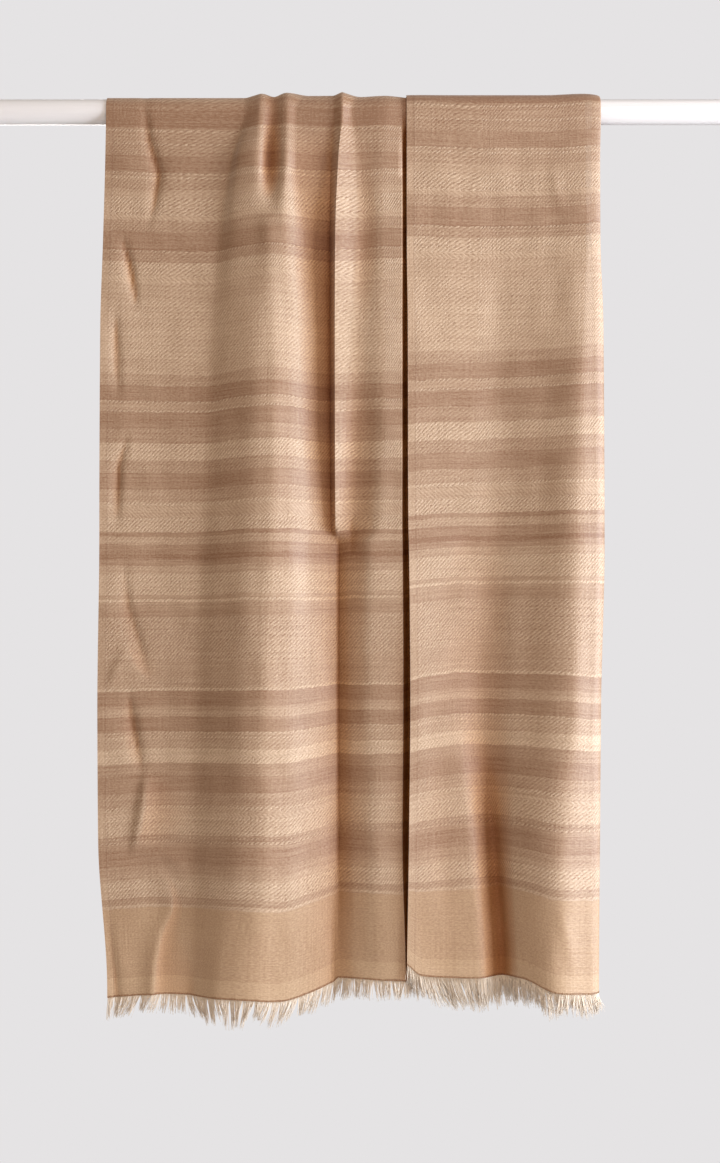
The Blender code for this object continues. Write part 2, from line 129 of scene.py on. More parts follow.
# Yarns of the frayed ends by place along X: their length, how far their tips swing to
# the right, and how far the yarns of a lock close up towards its tip
FRONT_FRINGE = (
    (-278, 27, -3, 0.35), (-262, 25, -6, 0.4), (-232, 21, -8, 0.35), (-209, 21, -2, 0.35),
    (-190, 24, 4, 0.45), (-172, 27, 6, 0.5), (-160, 29, 4, 0.45), (-153, 19, 3, 0.4),
    (-143, 33, 3, 0.5), (-126, 31, -2, 0.55), (-107, 17, -4, 0.4), (-93, 29, -5, 0.5),
    (-77, 23, -7, 0.4), (-55, 25, -8, 0.45), (-38, 25, -7, 0.45), (-16, 24, -3, 0.35),
    (0, 22, 0, 0.3), (27, 20, 0, 0.25), (50, 20, 1, 0.25), (67, 26, 4, 0.4),
    (90, 35, 14, 0.5), (110, 33, 8, 0.5), (132, 34, 4, 0.5), (154, 27, 3, 0.4),
    (176, 26, 3, 0.35), (192, 23, 4, 0.35), (207, 32, 2, 0.85), (228, 22, 0, 0.9),
    (240, 28, 2, 0.93), (262, 23, 3, 0.93),
)
BACK_FRINGE = (
    (-284, 26, 2, 0.45), (-200, 30, -3, 0.4), (-120, 27, 4, 0.5), (-40, 25, -2, 0.4),
    (40, 22, 3, 0.45), (120, 27, -4, 0.5), (200, 29, 2, 0.6), (262, 26, -2, 0.7),
)

CAMEL_YARN = "#885f3c"
IVORY_WEFT = "#d8be9e"
BORDER_TINT = "#fff8e4"
# Painted shade for wool in a fold, by how far the fold closes over it: its colour is multiplied
# warmer and darker, standing in for light that gets there only after coming off wool. The
# narrowest slots are dark already, and take only the painted warmth.
PAINTED_FOLD_SHADE = ((0.09, "#ffffff"), (0.16, "#fff4e9"), (0.28, "#f6dbbb"), (0.50, "#b98455"),
              (0.90, "#ffc684"))
# Over this span of closing, the wool's gleam is turned down: painted shade on its reflection.
DULLED = (0.16, 0.50)  # how far a fold closes while its wool loses its gleam

# The studio, in metres
CAMERA_DISTANCE = 1.6  # from the front of the cloth
CLOTH_FRONT = 0.015  # and the front of the cloth from the rod's axis
CAMERA_HEIGHT = -0.5184
SENSOR_WIDTH = 36
VIEW_HEIGHT = 1.2730  # how much the photograph's frame takes in at the cloth
FLOOR_SIZE = 2.6
FLOOR_HEIGHT = -1.70
AIR_LIGHT = 0.24
# Each soft light: its place, the point it faces, its width and height, power and colour
LIGHTS = {
    "window": ((2.7, -0.81, -0.38), (0, 0, -0.48), (1.5, 2.4), 158, "#ecf3ff"),
    "room": ((0.6, -2.4, 0.2), (0, 0, -0.45), (1.8, 1.6), 28, "#ffeadb"),
    "soft_top": ((0.2, -0.7, 1.6), (0, 0, 0), (1.6, 0.9), 5, "#ffffff"),
    "far_wall": ((-1.3, 2.6, 0.3), (0, 0, -0.45), (2.0, 1.8), 70, "#fffaf4"),
}

# Folds --------------------
# One row for each line where the cloth turns, left to right as seen from the front, named
# only to tell which it is.
# across: its place along X; depth: how far it stands out from the plain path;
# lift: how far its weft threads are raised. Each holds one value for every height of DOWN.
# sharp: a creased line, not a soft one.
Fold = namedtuple("Fold", "name across depth lift sharp", defaults=[False])

FRONT_DOWN = (0, 60, 140, 240, 460, 476, 650, 800, 965)
BACK_DOWN = (0, 60, 100, 240, 380, 470, 650, 800, 930)

FRONT_EDGE = Fold(
    "right edge", (263, 262, 262, 265, 266, 266, 262, 261, 260),
    (0.5, 0.5, 1.5, 2, 2, 2, 2, 2, 2), (29, 30, 30.5, 32, 22.5, 22, 15, 14, 4))
FRONT_MAIN = (
    Fold("selvedge", (-278, -279, -281, -284, -285, -285, -287, -286, -276),
         (0, 0, 1, 2, 2, 2.5, 3, 4, 5), (3, 3, 3, 3, -0.5, -0.5, -2, -4, -3)),
    Fold("flat", 9 * (-215,),
         (0, 0, 0, 0, 0, 0, 1, 1, 2), (1, 1, 1, 1, -0.7, -0.5, 0, 0, 1)),
    Fold("slope", (-128, -143, -156, -166, -175, -176, -182, -186, -190),
         (0, 0, 0.5, 1, 2, 2, 3, 3, 2), (0, 0, 0, 0, -0.5, -0.5, 0, 0, 0)),
    Fold("shoulder", (-116, -131, -138, -141, -147, -148, -152, -157, -173),
         (3, 11, 9.5, 10, 11.5, 12, 15, 15, 8), (1, 2, 2.5, 3, 0.8, 0.5, 1, 1, -1)),
    Fold("ridge left", (-109, -111, -112, -109, -112, -114, -123, -126, -152),
         (5, 15, 15.5, 19, 21.5, 22, 25.5, 25.5, 17), (3, 4, 5, 6, 2.8, 2.5, 2, 2, -1)),
    Fold("ridge middle", (-96, -99, -97, -96, -98, -99, -106, -110, -122),
         (1, 5, 19, 19.5, 22, 22.5, 27, 27, 20), (4, 5, 6, 7, 2.8, 2.5, 2, 2, -2)),
    Fold("ridge right", (-80, -81, -85, -80, -79, -79, -82, -84, -88),
         (6, 14.5, 18.5, 15.5, 17.5, 18.5, 21.5, 21.5, 13), (4, 4, 5, 6, 3, 2.5, 2, 1, -5)),
    Fold("valley", (-69, -69, -58, -54, -53, -54, -54, -54, -54),
         (3, 8, 6, 3, 4.5, 6, 9.5, 9, 3.5), (3, 3, 3.3, 3, 1.4, 1.2, 3.8, 6.5, 2.5)),
    Fold("crease foot", (-29, -32, -33, -33, -32, -27, -27, -27, -28.5),
         (3.2, 3.5, -1, -5, -3, -2.5, -2, -2.5, -5),
         (2, 2, 1, 1, 0.5, 0.5, 7.5, 13.5, 12.5), sharp=True),
    Fold("crease", (-19.5, -23.5, -26.5, -27, -26.5, -23, -23, -23, -24),
         (7.5, 14, 16, 12.5, 5.5, -5.5, -5, -5, -3.5),
         (3, 1, 0, 0, 0.3, 0.5, 8, 15, 17), sharp=True),
    Fold("beyond crease", (-8, 0, 3, -1, -8, -9, -8, -6, -4),
         (1.5, 4.5, 5.5, 6.5, 1, 2.5, 5, 5, 4), (3, 3, 2, 2, 2, 2.5, 7, 15, 18)),
    Fold("beside flap", (26, 24, 26, 27, 22, 13, 15, 21, 28),
         (3, 6.5, 9, 10.5, 11.5, 12, 11.5, 12, 9.5), (4, 4, 4, 3, 2, 2.5, 8, 15, 17)),
    Fold("brink", (45, 45, 45, 45, 45, 45.5, 46.5, 45.5, 49.5),
         (0.8, 5, 9, 10.5, 12, 12, 12, 12, 10), (4, 4, 4, 3, 2, 2.5, 8, 15, 16.5), sharp=True),
    Fold("behind flap edge", (50, 51, 51.5, 51.5, 51.5, 52, 53.5, 52.5, 56),
         (0.3, -4, -5.5, -7, -8, -8, -8, -8, -5), (8, 8, 8, 7, 4.5, 4.5, 9, 14, 16)),
    Fold("under flap", 9 * (150,),
         (0, -3, -5, -6, -7, -7, -8, -10, -10), (16, 16, 16, 14, 9, 8.5, 10, 13, 12)),
)
FRONT_FLAP = (
    Fold("flap selvedge", (51, 51, 51, 52, 52.5, 53, 54.5, 53, 51),
         (3, 5, 7.5, 10, 13, 14, 16.5, 17, 14.5), (29, 29, 28, 24, 16, 15.5, 12, 14, 38)),
    Fold("flap corner", (67, 67, 67, 68, 68.5, 69, 71, 69, 67),
         (3.2, 4.8, 7, 9, 11, 11.5, 13.5, 13.5, 12), (29, 29, 28, 25, 17.5, 17, 16, 17, 23)),
    Fold("flap flat", (98, 98, 98, 98, 96, 95, 92, 98, 98),
         (3, 4.2, 6, 7.5, 7, 7, 9, 9, 8.5), (28, 28, 27, 26, 19.3, 19, 18.5, 20.5, 20)),
    Fold("flap bend", (133, 132, 130, 128, 119, 115, 108, 118, 130),
         (3, 3.6, 4.5, 5, 4.5, 4.3, 5.5, 8.5, 7.5), (27, 27, 26.5, 26, 20, 20, 20, 22, 19)),
    Fold("flap valley", (154, 154, 153, 151, 143, 141, 132, 147, 157),
         (3, 3.3, 3.8, 3.5, 2.5, 2, 0.5, -7.5, -7.5),
         (27, 27, 27, 27, 20, 19.5, 19.5, 21.5, 19)),
    Fold("flap rise", (203, 202, 202, 200, 188, 185, 168, 166, 174),
         (3, 4.2, 6, 9.5, 11, 11.5, 11, 13.5, 13), (27, 27, 27.5, 28, 21, 20.5, 19.5, 22, 21)),
    Fold("flap ridge", (246, 246, 246, 242, 232, 232, 228, 214, 211),
         (4.5, 7, 10.5, 16.5, 23.5, 24.5, 28.5, 31, 29),
         (29, 29, 28.5, 30, 22, 21.5, 18, 16, 8.5)),
)
FRONT_LOOP_DEPTH = (4.2, 6.5, 9.5, 14, 18, 18.5, 21, 18.5, 17)

BACK_EDGE = Fold(
    "right edge", (263, 263, 263, 264, 264, 263, 262, 261, 261),
    (0.5, 0.5, 1, 2, 2, 2, 2, 2, 2), (-29, -29, -28, -27, -26, -25, -22, -20, -19))
BACK_MAIN = (
    Fold("selvedge", (-278, -278, -279, -281, -282, -283, -284, -285, -283),
         (0, 0, 1, 2, 3, 3, 4, 4, 5), (-3, -3, -3, -2, -1, 0, 1, 2, 3)),
    Fold("flat", 9 * (-215,),
         (0, 0, 0, 0, 1, 1, 2, 2, 2), (-1, -1, -1, 0, 0, 0, 0, 0, 0)),
    Fold("slope", (-126, -132, -136, -148, -154, -157, -160, -163, -164),
         (0, 0, 0, 0, 1, 1, 2, 2, 3), 9 * (0,)),
    Fold("shoulder", (-115, -117, -118, -120, -121, -121, -120, -119, -119),
         (2.5, 6, 8, 11, 13, 14, 15, 16, 16), (-2, -2, -1, -1, 0, 0, 0, 0, 1)),
    Fold("ridge left", (-106, -104, -101, -98, -95, -93, -90, -88, -88),
         (4, 9, 12, 19, 22, 24, 26, 27, 27), (-3, -3, -2, -1, 0, 0, 1, 1, 2)),
    Fold("ridge middle", (-93.5, -91, -89, -86, -83, -81, -77, -75, -75),
         (1.2, 6, 12, 20, 24, 26, 28, 29, 29), (-4, -3, -2, -1, 0, 0, 1, 2, 2)),
    Fold("ridge right", (-82, -79, -77, -72, -68, -66, -62, -60, -60),
         (5, 10, 13, 17, 19, 21, 22, 23, 23), (-4, -3, -3, -1, 0, 0, 1, 1, 2)),
    Fold("valley", (-37, -36, -35, -32, -28, -26, -22, -20, -20),
         (1, 0.5, 0, -1, -2, -3, -3, -4, -4), (-2, -2, -2, -1, 0, 0, 0, 0, 0)),
    Fold("crease foot", (-30, -27, -25, -18, -12, -9, -4, 0, 2),
         (1, 1, 1, 1, 0, 0, -1, -1, -1), (-2, -2, -2, -1, 0, 0, 0, 0, 0)),
    Fold("crease", (-20, -17, -14, -6, 0, 3, 8, 12, 14),
         (4.5, 9, 11, 13, 14, 14, 12, 11, 11), (-3, -2, -2, -1, 0, 0, 1, 1, 1), sharp=True),
    Fold("beyond crease", (13, 15, 17, 22, 26, 28, 31, 33, 34),
         (0.5, 1, 1, 1, 1, 2, 2, 3, 3), 9 * (-3,)),
    Fold("beside flap", (30, 31, 33, 39, 43, 45, 48, 50, 51),
         (1.5, 2.5, 4, 6, 7, 8, 9, 9, 9), (-4, -4, -4, -4, -4, -4, -5, -5, -5)),
    Fold("brink", (45, 46, 47, 51, 54, 56, 59, 61, 61),
         (1, 2, 3, 5, 6, 7, 8, 8, 8), (-4, -4, -4, -5, -5, -5, -6, -6, -6), sharp=True),
    Fold("behind flap edge", (50, 52, 53, 57, 60, 62, 65, 67, 67),
         (0.3, -3, -4, -5, -5, -6, -6, -6, -4), (-8, -8, -8, -7, -7, -7, -7, -7, -7)),
    Fold("under flap", 9 * (150,),
         (0, -2, -3, -3, -4, -4, -4, -4, -3), (-16, -16, -16, -15, -15, -14, -13, -12, -12)),
)
BACK_FLAP = (
    Fold("flap selvedge", (51, 52, 53, 56, 59, 61, 64, 66, 66),
         (3, 4.5, 6, 8, 9, 10, 11, 11, 11), (-29, -29, -28, -26, -24, -22, -18, -16, -15)),
    Fold("flap corner", (67, 68, 69, 72, 75, 77, 80, 82, 82),
         (3.2, 4.5, 5.5, 7, 8, 9, 10, 10, 10), (-29, -29, -28, -26, -24, -22, -19, -17, -16)),
    Fold("flap flat", (98, 98, 99, 102, 105, 106, 108, 110, 110),
         (3, 4.2, 5, 6, 6, 6.5, 7, 7, 7), (-28, -28, -27, -26, -24, -22, -19, -17, -16)),
    Fold("flap bend", (133, 134, 134, 136, 138, 139, 140, 141, 141),
         (3, 3.8, 4.2, 4.5, 4, 4, 4, 4, 4), (-27, -27, -26, -25, -24, -22, -19, -17, -16)),
    Fold("flap valley", (154, 155, 156, 160, 163, 165, 168, 170, 170),
         (3, 3.5, 4, 4, 3, 3, 2.5, 2.5, 2.5), (-27, -27, -27, -25, -24, -22, -20, -18, -17)),
    Fold("flap rise", (203, 203, 203, 202, 201, 200, 200, 200, 200),
         (3, 4.5, 6, 9, 12, 13, 14, 15, 15), (-27, -27, -27, -26, -25, -23, -20, -18, -17)),
    Fold("flap ridge", (246, 245, 243, 239, 235, 233, 230, 228, 227),
         (4.5, 7.5, 10, 16, 19, 21, 23, 24, 24), (-29, -29, -28, -26, -25, -23, -20, -18, -17)),
)
BACK_LOOP_DEPTH = (4.2, 6.5, 8, 10, 11, 11, 12, 12, 12)

# Small creases --------------------
# line: points (x, z) from its top down; height: how far its middle stands out, or how
# far it sinks when negative; left, right: the width of each of its sides.
Crease = namedtuple("Crease", "line height left right")

FRONT_MAIN_CREASES = (
    Crease(((-236, 8), (-231, -34), (-220, -72), (-226, -110), (-234, -135)), -4.2, 7, 3.5),
    Crease(((-261, -138), (-251, -175), (-243, -222)), -4.4, 6, 3),
    Crease(((-268, -215), (-266, -262), (-264, -320)), -3, 6, 3),
    Crease(((-252, -352), (-264, -393), (-266, -465)), -3.6, 7, 3),
    Crease(((-258, -492), (-254, -545), (-240, -590), (-232, -622)), -3, 9, 4),
    Crease(((-256, -588), (-266, -612), (-276, -640)), 1.8, 4, 8),
    Crease(((-259, -588), (-246, -612), (-232, -630)), 1.6, 8, 4),
    Crease(((-254, -632), (-248, -675), (-238, -728)), -4.4, 10, 4),
    Crease(((-234, -722), (-240, -775), (-250, -822)), 4.6, 4, 11),
    Crease(((-244, -812), (-212, -817), (-186, -834)), 2, 5, 5),
    Crease(((-222, -824), (-208, -858), (-206, -876), (-219, -905), (-225, -938),
            (-227, -975), (-227, -1150)), 4.6, 15, 6),
    Crease(((-274, -858), (-272, -905), (-266, -965), (-264, -1100)), -2.4, 7, 4),
    Crease(((-183, -830), (-186, -890), (-188, -965)), 1.6, 12, 12),
    Crease(((-9, -446), (-9, -468), (-8, -492)), -3.4, 6, 5),
)
FRONT_FLAP_CREASES = (
    Crease(((209, -60), (214, -88), (222, -120)), 1.6, 8, 6),
    Crease(((214, -868), (222, -900), (230, -945)), 1.6, 5, 7),
)
BACK_MAIN_CREASES = (
    Crease(((-246, -20), (-238, -80), (-243, -150)), -2.6, 6, 7),
    Crease(((-262, -300), (-252, -390), (-258, -470)), -2.4, 7, 5),
    Crease(((-236, -560), (-248, -640), (-240, -720)), 2.6, 8, 8),
    Crease(((-190, -760), (-205, -840), (-203, -1100)), 3, 12, 8),
)
BACK_FLAP_CREASES = (
    Crease(((118, -240), (124, -330), (120, -420)), -1.6, 8, 8),
    Crease(((206, -640), (214, -740), (212, -1100)), 1.8, 9, 8),
)


def soft_slopes(at, value):
    """Slopes of curves that keep every ridge and valley where its row puts it."""
    run = np.diff(at, axis=-1)
    secant = np.diff(value, axis=-1) / run
    before, after = secant[..., :-1], secant[..., 1:]
    turning = before * after <= 0
    near = 2 * run[..., 1:] + run[..., :-1]
    far = run[..., 1:] + 2 * run[..., :-1]
    slope = np.empty(value.shape)
    slope[..., 0], slope[..., -1] = secant[..., 0], secant[..., -1]
    mean = (near + far) / (near / np.where(turning, 1, before)
                           + far / np.where(turning, 1, after))
    slope[..., 1:-1] = np.where(turning, 0, mean)
    return secant, slope


def hermite(t, start, end, slope_start, slope_end):
    """Cubic from start to end over t from 0 to 1, with slopes per unit of t."""
    return ((2 * t**3 - 3 * t**2 + 1) * start + (t**3 - 2 * t**2 + t) * slope_start
            + (3 * t**2 - 2 * t**3) * end + (t**3 - t**2) * slope_end)


def down_values(down_table, values, down):
    """A fold's value at each height, smooth between the heights it is given at."""
    at, value = np.array(down_table, float), np.array(values, float)
    _, slope = soft_slopes(at, value)
    slope[0] = slope[-1] = 0
    down = np.clip(down, at[0], at[-1])
    i = np.clip(np.searchsorted(at, down, side="right") - 1, 0, len(at) - 2)
    run = at[i + 1] - at[i]
    return hermite((down - at[i]) / run, value[i], value[i + 1],
                   slope[i] * run, slope[i + 1] * run)


def layer_section(down_table, folds, last, strips, down):
    """Across, depth and lift of one layer at every height and column: 3 grids."""
    kinds = []
    for kind, last_values in zip(("across", "depth", "lift"), last):
        rows = [down_values(down_table, getattr(fold, kind), down) for fold in folds]
        kinds.append(np.array(rows + [last_values]).T)
    across = kinds[0]
    sharp = np.array([fold.sharp for fold in folds] + [False])
    i = np.repeat(np.arange(len(strips)), strips)
    t = np.concatenate([np.arange(count) / count for count in strips])
    i, t = np.append(i, len(strips) - 1), np.append(t, 1.0)
    run = across[:, i + 1] - across[:, i]
    grids = [across[:, i] + t * run]
    for value in kinds[1:]:
        secant, slope = soft_slopes(across, value)
        start = np.where(sharp[i], secant[:, i], slope[:, i])
        end = np.where(sharp[i + 1], secant[:, i], slope[:, i + 1])
        grids.append(hermite(t, value[:, i], value[:, i + 1], start * run, end * run))
    return grids


def drop_section(side, down):
    """Across, depth and lift of the whole cloth on one drop, selvedge to selvedge."""
    table, main, flap, edge, loop_depth = {
        "front": (FRONT_DOWN, FRONT_MAIN, FRONT_FLAP, FRONT_EDGE, FRONT_LOOP_DEPTH),
        "back": (BACK_DOWN, BACK_MAIN, BACK_FLAP, BACK_EDGE, BACK_LOOP_DEPTH),
    }[side]
    edge_across, edge_depth, edge_lift = (
        down_values(table, values, down) for values in (edge.across, edge.depth, edge.lift))
    outer_depth = down_values(table, loop_depth, down)
    start = edge_across - EDGE_LOOP
    under = layer_section(table, main, (start, edge_depth, edge_lift), MAIN_STRIPS, down)
    over = layer_section(table, flap, (start, outer_depth, edge_lift), FLAP_STRIPS, down)

    # the loop round the right edge, a Bezier from the main layer out to the flap
    t = np.arange(1, LOOP_STRIPS) / LOOP_STRIPS
    reach = edge_across + EDGE_LOOP / 3
    corners = ((start, edge_depth), (reach, edge_depth),
               (reach, outer_depth - LOOP_LEAN * (outer_depth - edge_depth)),
               (start, outer_depth))
    weights = ((1 - t)**3, 3 * t * (1 - t)**2, 3 * t**2 * (1 - t), t**3)
    loop = [sum(np.outer(corner[k], weight) for weight, corner in zip(weights, corners))
            for k in (0, 1)]
    loop.append(np.outer(edge_lift, np.ones(len(t))))
    return [np.hstack((a, b, c[:, ::-1])) for a, b, c in zip(under, loop, over)]


def crease_depth(creases, x, z):
    """How far small creases move the cloth out at each point."""
    total = np.zeros(x.shape)
    for crease in creases:
        nearest = np.full(x.shape, np.inf)
        width, along = np.ones(x.shape), np.zeros(x.shape)
        done = 0.0
        for (x1, z1), (x2, z2) in zip(crease.line[:-1], crease.line[1:]):
            length = math.hypot(x2 - x1, z2 - z1)
            run_x, run_z = (x2 - x1) / length, (z2 - z1) / length
            reach = np.clip((x - x1) * run_x + (z - z1) * run_z, 0, length)
            off_x, off_z = x - x1 - reach * run_x, z - z1 - reach * run_z
            distance = np.hypot(off_x, off_z)
            closer = distance < nearest
            on_right = run_x * off_z - run_z * off_x > 0
            nearest = np.where(closer, distance, nearest)
            width = np.where(closer, np.where(on_right, crease.right, crease.left), width)
            along = np.where(closer, done + reach, along)
            done += length
        fade = np.sin(math.pi * along / done)
        width = width * (CREASE_ENDS + (1 - CREASE_ENDS) * fade)
        total += crease.height * fade * np.exp(-(nearest / width)**CREASE_ROUNDING)
    return total


def soft_ripple(x, z, seed):
    """The slight unevenness of a cloth that has been folded away."""
    draw = random.Random(seed)
    total = np.zeros(x.shape)
    for _ in range(RIPPLE_WAVES):
        long_wave = draw.uniform(*LONG_WAVES)
        wide_wave = draw.uniform(*WIDE_WAVES)
        slant = draw.uniform(-WAVE_SLANT, WAVE_SLANT)
        wide = (x + slant * z) * 2 * math.pi / wide_wave + draw.uniform(*ANY_PHASE)
        long = z * 2 * math.pi / long_wave + draw.uniform(*ANY_PHASE)
        total += np.sin(wide) * np.sin(long)
    return RIPPLE * total / math.sqrt(RIPPLE_WAVES)


def shape_drop(side, rows):
    """Place each point of one drop, from its hem to the rod: across, depth, down, thread."""
    drop, creases = {
        "front": (FRONT_DROP, (FRONT_MAIN_CREASES, FRONT_FLAP_CREASES)),
        "back": (BACK_DROP, (BACK_MAIN_CREASES, BACK_FLAP_CREASES)),
    }[side]
    steps = np.arange(0, drop + BELOW_HEM, DOWN_STEP)
    across_all, depth_all, lift_all = drop_section(side, steps)
    share = np.linspace(0, 1, rows + 1)
    down_grid, across_grid, depth_grid, thread_grid = (
        np.empty((rows + 1, across_all.shape[1])) for _ in range(4))
    for column in range(across_all.shape[1]):
        lift = lift_all[:, column]
        # thread: how far a weft thread lies from the rod's near side, along the cloth
        thread = drop - share * (drop - lift[0])
        down = thread.copy()
        for _ in range(LIFT_PASSES):
            down = thread - np.interp(down, steps, lift)
        down[-1] = 0
        across_grid[:, column] = np.interp(down, steps, across_all[:, column])
        depth_grid[:, column] = np.interp(down, steps, depth_all[:, column])
        down_grid[:, column], thread_grid[:, column] = down, thread
    layer_end = sum(MAIN_STRIPS) + 1
    flap_start = layer_end + LOOP_STRIPS - 1
    calm = np.clip(down_grid / CALM_TOP, 0, 1)
    for columns, lines, seed in ((slice(0, layer_end), creases[0], 3),
                                 (slice(flap_start, None), creases[1], 8)):
        x, z = across_grid[:, columns], -down_grid[:, columns]
        depth_grid[:, columns] += crease_depth(lines, x, z)
        depth_grid[:, columns] += calm[:, columns] * soft_ripple(x, z, seed)
    return across_grid, depth_grid, down_grid, thread_grid


def how_sheltered(across, depth):
    """How far the cloth on both sides of each point closes over it, from 0, open, to 1."""
    rows = []
    for x, out in zip(across, depth):
        beside = x[None, :] - x[:, None]
        higher = np.maximum(out[None, :] - out[:, None], 0)
        angle = np.arctan2(higher, np.abs(beside) + BESIDE)
        left, right = (np.where(side, angle, 0).max(axis=1)
                       for side in (beside < 0, beside > 0))
        rows.append(np.sqrt(left * right) / (math.pi / 2))
    return np.array(rows)


def lay_cloth(name):
    """The whole cloth as one open grid: up the front, over the rod and down the back."""
    front = shape_drop("front", FRONT_ROWS)
    back = shape_drop("back", BACK_ROWS)
    rows = FRONT_ROWS + TURN_ROWS + BACK_ROWS + 1
    columns = front[0].shape[1]
    points = np.empty((rows, columns, 3))
    threads = np.empty((rows, columns, 2))

    across, depth, down, thread = front
    points[:FRONT_ROWS + 1] = np.stack((across, -(CLOTH_RADIUS + depth), -down), axis=-1)
    threads[:FRONT_ROWS + 1, :, 1] = FRONT_DROP - thread

    # the same grids over the rod, from the front drop's top row to the back drop's
    share = (np.arange(1, TURN_ROWS) / TURN_ROWS)[:, None]
    turn = slice(FRONT_ROWS + 1, FRONT_ROWS + TURN_ROWS)
    radius = CLOTH_RADIUS + (1 - share) * depth[-1] + share * back[1][-1]
    points[turn] = np.stack(((1 - share) * across[-1] + share * back[0][-1],
                             -radius * np.cos(math.pi * share),
                             radius * np.sin(math.pi * share)), axis=-1)
    threads[turn, :, 1] = (FRONT_DROP - (1 - share) * thread[-1]
                           + share * (HALF_TURN + back[3][-1]))

    across, depth, down, thread = (grid[::-1] for grid in back)
    points[-BACK_ROWS - 1:] = np.stack((across, CLOTH_RADIUS + depth, -down), axis=-1)
    threads[-BACK_ROWS - 1:, :, 1] = FRONT_DROP + HALF_TURN + thread

    over_rod = radius - CLOTH_RADIUS
    sheltered = how_sheltered(points[:, :, 0], np.vstack((front[1], over_rod, depth)))

    middle = points[FRONT_ROWS // 2]
    widths = np.linalg.norm(np.diff(middle, axis=0), axis=1)
    threads[:, :, 0] = np.concatenate(([0], np.cumsum(widths)))

    bpy.ops.mesh.primitive_grid_add(x_subdivisions=columns - 1, y_subdivisions=rows - 1, size=2)
    cloth = bpy.context.object
    cloth.name = cloth.data.name = name
    mesh = cloth.data
    flat = np.empty(len(mesh.vertices) * 3)
    mesh.vertices.foreach_get("co", flat)
    flat = flat.reshape(-1, 3)
    column = np.rint((flat[:, 0] + 1) / 2 * (columns - 1)).astype(int)
    row = np.rint((flat[:, 1] + 1) / 2 * (rows - 1)).astype(int)
    mesh.vertices.foreach_set("co", (points[row, column] * MM).ravel())
    corner = np.empty(len(mesh.loops), dtype=int)
    mesh.loops.foreach_get("vertex_index", corner)
    mesh.uv_layers[0].name = "threads"
    mesh.uv_layers["threads"].uv.foreach_set(
        "vector", (threads[row[corner], column[corner]] * MM).ravel())
    # how far the folds close over each point, kept for the painted shade in them
    shelter = np.zeros((len(corner), 2))
    shelter[:, 0] = sheltered[row[corner], column[corner]]
    mesh.uv_layers.new(name="shelter").uv.foreach_set("vector", shelter.ravel())
    mesh.update()
    return cloth, points, threads


def put_in_scene(name, data):
    """A new object of a mesh, a lamp or a camera."""
    thing = bpy.data.objects.new(name, data)
    bpy.context.scene.collection.objects.link(thing)
    return thing


def tubes(name, paths, radii, sides, tones):
    """Thin tubes along many paths that mostly run downwards, closed at both ends."""
    count, steps, _ = paths.shape
    angle = np.arange(sides) * 2 * math.pi / sides
    ring = np.stack((np.cos(angle), np.sin(angle), np.zeros(sides)), axis=-1)
    vertices = paths[:, :, None, :] + radii[:, :, None, None] * ring
    first = np.arange(count)[:, None, None] * steps * sides
    step = np.arange(steps - 1)[None, :, None] * sides
    side = np.arange(sides)[None, None, :]
    here, after = first + step + side, first + step + (side + 1) % sides
    walls = np.stack((here, here + sides, after + sides, after), axis=-1).reshape(-1, 4)
    ends = first[:, 0, :] + np.arange(sides)
    faces = walls.tolist() + ends.tolist() + (ends[:, ::-1] + (steps - 1) * sides).tolist()
    mesh = bpy.data.meshes.new(name)
    mesh.from_pydata((vertices.reshape(-1, 3) * MM).tolist(), [], faces)
    corner = np.empty(len(mesh.loops), dtype=int)
    mesh.loops.foreach_get("vertex_index", corner)
    along = np.tile(np.repeat(np.linspace(0, 1, steps), sides), count)
    tone = np.repeat(tones, steps * sides)
    layer = mesh.uv_layers.new(name="yarn")
    layer.uv.foreach_set("vector", np.stack((tone[corner], along[corner]), axis=-1).ravel())
    mesh.shade_smooth()
    return put_in_scene(name, mesh)


def hem_places(hem, spacing, draw):
    """Points along a hem a spacing apart, a little uneven, with the way out from the cloth."""
    lengths = np.concatenate(([0], np.cumsum(np.linalg.norm(np.diff(hem, axis=0), axis=1))))
    places = np.arange(HEM_START, lengths[-1] - HEM_END, spacing)
    shifts = [draw.uniform(-UNEVEN_SPACING, UNEVEN_SPACING) * spacing for _ in places]
    places = np.clip(places + shifts, HEM_MARGIN, lengths[-1] - HEM_MARGIN)

    def point_at(place):
        return np.stack([np.interp(place, lengths, hem[:, k]) for k in range(3)], axis=-1)

    ahead = point_at(places + HEM_REACH) - point_at(places - HEM_REACH)
    ahead /= np.linalg.norm(ahead, axis=1)[:, None]
    outward = np.cross(ahead, (0, 0, 1))
    outward /= np.linalg.norm(outward, axis=1)[:, None]
    return places, point_at(places), ahead, outward


